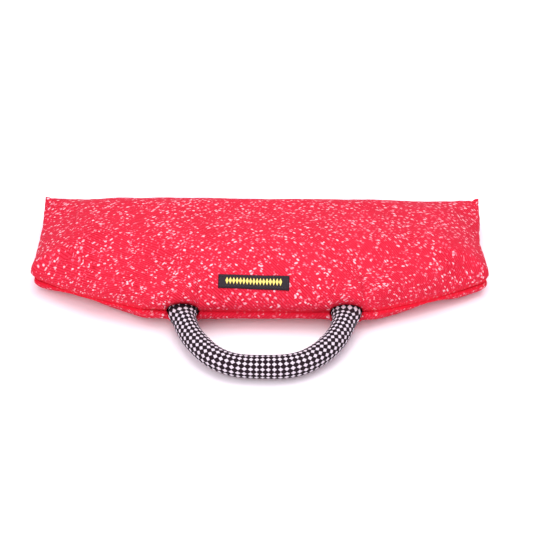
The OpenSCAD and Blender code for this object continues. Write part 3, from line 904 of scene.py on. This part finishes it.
def loop_line():
    """Middle line of the handle, in even steps: out of the seam, round a full-bellied loop, and back in.

    The reach is a power of one less a power of the cosine, and the height falls in proportion to the reach.
    """
    turn = np.linspace(0, np.pi, 1441)
    x = handle_middle_x + leg_half_gap * np.cos(turn)
    reach = sleeve_reach * np.maximum(0, 1 - np.abs(np.cos(turn)) ** loop_belly) ** loop_shoulder
    inside = np.linspace(root_inside, 0, 24, endpoint=False)
    x = np.concatenate([np.full(24, x[0]), x, np.full(24, x[-1])])
    reach = np.concatenate([-inside, reach, -inside[::-1]])
    out = np.clip((reach - hinge_gap) / (sleeve_reach - hinge_gap), 0, 1)
    z = seam_level + (sleeve_low.z + tube_radius - seam_level) * out
    points = np.stack([x, front_y - reach, z], axis=-1)
    run = np.concatenate([[0], np.cumsum(np.linalg.norm(np.diff(points, axis=0), axis=1))])
    steps = int(run[-1] / loop_step)
    even = np.linspace(0, run[-1], steps)
    return np.stack([np.interp(even, run, points[:, k]) for k in range(3)], axis=-1), even


def loop_sides(line):
    """Level unit vectors at right angles to the line."""
    along = np.gradient(line, axis=0)
    side = np.stack([along[:, 1], -along[:, 0], np.zeros(len(line))], axis=-1)
    return side / np.linalg.norm(side, axis=1, keepdims=True)


def check_height(s, c):
    """Height of the check weave: each diamond of the turned check is a small cushion, from two crossed cosines."""
    a, b = s / check_pitch + c, s / check_pitch - c
    return np.sqrt(np.abs(np.cos(np.pi * a) * np.cos(np.pi * b)))


def sleeve_points():
    """Rings round the line: a flat ellipse at each foot that turns into a circle, with the weave's relief."""
    line, run = loop_line()
    side = loop_sides(line)
    reach = front_y - line[:, 1]
    round_ = ease(reach / flat_run)[:, None]
    half_w = foot_half_width + (tube_radius - foot_half_width) * round_
    half_h = foot_half_height + (tube_radius - foot_half_height) * round_
    turn = np.linspace(0, 2 * np.pi, loop_ring, endpoint=False)[None, :]
    share = turn / (2 * np.pi) * check_count
    rate = 1 - foot_crowding * np.exp(-(np.maximum(reach, 0) / foot_crowding_reach) ** 2)
    woven = np.cumsum(np.gradient(run) * rate)
    relief = weave_relief * (check_height(woven[:, None], share) - 1)
    wobble = long_wobble * np.sin(run[:, None] / 0.021) * np.cos(2 * turn + 0.7)
    wobble = wobble + short_wobble * np.sin(run[:, None] / 0.009 + turn)
    half_w = half_w + relief + wobble
    half_h = half_h + relief + wobble
    points = (line[:, None, :] + side[:, None, :] * (half_w * np.cos(turn))[..., None]
              + np.array([0, 0, 1]) * (half_h * np.sin(turn))[..., None])
    points[..., 2] = np.maximum(points[..., 2], 0.0)
    share = np.linspace(0, check_count, loop_ring + 1)
    uv = np.stack(np.broadcast_arrays(woven[:, None] / check_pitch, share[None, :]), axis=-1)
    return points, uv


def make_check_webbing():
    """Black and white check, turned by 45 degrees: white where two diagonal counts add up to an even number.

    The white fades out close to the sides of each diamond, and crossed threads run over both colours.
    """
    material, tree, shader = new_material("check_webbing", 0.8)
    shader.inputs["Specular IOR Level"].default_value = 0.12
    cloth = cloth_coordinates(tree)
    noise = tree.nodes.new("ShaderNodeTexNoise")
    noise.inputs["Scale"].default_value = 2.6
    noise.inputs["Detail"].default_value = 2.0
    tree.links.new(cloth, noise.inputs["Vector"])
    split = tree.nodes.new("ShaderNodeSeparateXYZ")
    tree.links.new(cloth, split.inputs[0])
    stray_share = 0.22
    stray = math_node(tree, "MULTIPLY", math_node(tree, "SUBTRACT", noise.outputs["Fac"], 0.5), stray_share)
    along = math_node(tree, "ADD", split.outputs["X"], stray)
    one = math_node(tree, "ADD", math_node(tree, "ADD", along, split.outputs["Y"]), 0.5)
    two = math_node(tree, "ADD", math_node(tree, "SUBTRACT", along, split.outputs["Y"]), 0.5)
    count = math_node(tree, "ADD", math_node(tree, "FLOOR", one), math_node(tree, "FLOOR", two))
    pale = math_node(tree, "SUBTRACT", 1.0, math_node(tree, "PINGPONG", count, 1.0))
    from_one = math_node(tree, "PINGPONG", one, 0.5)
    from_two = math_node(tree, "PINGPONG", two, 0.5)
    from_side = math_node(tree, "MINIMUM", from_one, from_two)
    square = tree.nodes.new("ShaderNodeMapRange")
    square.interpolation_type = "SMOOTHSTEP"
    square.inputs["From Min"].default_value = 0.03
    square.inputs["From Max"].default_value = 0.17
    tree.links.new(from_side, square.inputs["Value"])
    pale = math_node(tree, "MULTIPLY", pale, square.outputs["Result"])
    fine = place_group(tree, yarn_ridges, Vector=cloth, Pitch=0.21, Angle=1.5708, Wander=0.1).outputs[0]
    cross = place_group(tree, yarn_ridges, Vector=cloth, Pitch=0.23, Angle=0.0, Wander=0.1).outputs[0]
    threads = math_node(tree, "MULTIPLY", math_node(tree, "ADD", fine, cross), 0.5)
    white = mix_colours(tree, threads, (0.46, 0.41, 0.45), (0.76, 0.71, 0.75))
    black = mix_colours(tree, threads, (0.006, 0.002, 0.004), (0.022, 0.012, 0.017))
    tree.links.new(mix_colours(tree, pale, black, white), shader.inputs["Base Color"])
    bump(tree, shader, threads, 0.0002, 0.7)
    return material


check_webbing = make_check_webbing()


def closed_tube(name, points, uv, material):
    """A closed skin over rings of points, with a fan of triangles over its first and its last ring."""
    rows, columns = points.shape[:2]
    ids = np.arange(rows * columns).reshape(rows, columns)
    ids = np.hstack([ids, ids[:, :1]])
    inwards = [0, 3, 2, 1]
    first, last = np.full((2, columns), [[rows * columns], [rows * columns + 1]])
    start_fan = np.stack([first, ids[0, :-1], ids[0, 1:]], axis=-1)
    end_fan = np.stack([last, ids[-1, 1:], ids[-1, :-1]], axis=-1)
    skin = np.vstack([points.reshape(-1, 3), points[0].mean(axis=0), points[-1].mean(axis=0)])
    mesh = smooth_mesh(name, skin, quads_of(ids)[:, inwards], start_fan, end_fan)
    corners = quads_of(np.arange(uv.shape[0] * uv.shape[1]).reshape(uv.shape[:2]))[:, inwards]
    set_cloth_map(mesh, np.vstack([uv.reshape(-1, 2)[corners.reshape(-1)], np.zeros((6 * columns, 2))]))
    return add_object(name, mesh, material)


sleeve = closed_tube("handle_sleeve_check", *sleeve_points(), check_webbing)
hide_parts("handle_sleeve", "left_sleeve_end", "right_sleeve_end")
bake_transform(sleeve)


# ---------------------------------------------------------------- the pieces inside
# Canvas bag, stuffing, turned-in seam and straps keep their designed shapes; nobody sees them until the pad is
# opened, so they get the plain look of their material.
def make_plain_cloth(name, dark, light, pitch):
    """Plain weave on the piece's own place: two crossed sets of threads."""
    material, tree, shader = new_material(name, 0.9)
    place = tree.nodes.new("ShaderNodeTexCoord").outputs["Object"]
    one = place_group(tree, yarn_ridges, Vector=place, Pitch=pitch, Angle=0.0, Wander=0.0004).outputs[0]
    two = place_group(tree, yarn_ridges, Vector=place, Pitch=pitch, Angle=1.5708, Wander=0.0004).outputs[0]
    threads = math_node(tree, "MULTIPLY", math_node(tree, "ADD", one, two), 0.5)
    tree.links.new(mix_colours(tree, threads, dark, light), shader.inputs["Base Color"])
    bump(tree, shader, threads, 0.0002, 0.6)
    return material


inner_looks = {
    "bag_canvas": make_plain_cloth("bag_canvas", (0.52, 0.47, 0.36), (0.76, 0.71, 0.60), 0.0012),
    "filling_wool": make_plain_cloth("filling_wool", (0.70, 0.68, 0.62), (0.90, 0.89, 0.85), 0.004),
    "seam_tape": make_plain_cloth("seam_tape", (0.30, 0.01, 0.03), (0.50, 0.02, 0.05), 0.0010),
    "red_thread": red_thread,
    "black_thread": black_thread,
    "load_strap": make_plain_cloth("load_strap", (0.010, 0.010, 0.010), (0.05, 0.05, 0.05), 0.0014),
    "core_foam": make_plain_cloth("core_foam", (0.05, 0.05, 0.055), (0.10, 0.10, 0.11), 0.0022),
    "label_black": label_black,
    "label_yellow": label_yellow,
    "check_webbing": check_webbing,
    "cover_fabric": red_twill,
}
slot_of = {row["node"]: row["material_slot"] for row in frame["record"]["subparts"]}
for node_name, node_object in frame["nodes"].items():
    for place in node_object.material_slots:
        place.material = inner_looks[slot_of[node_name]]
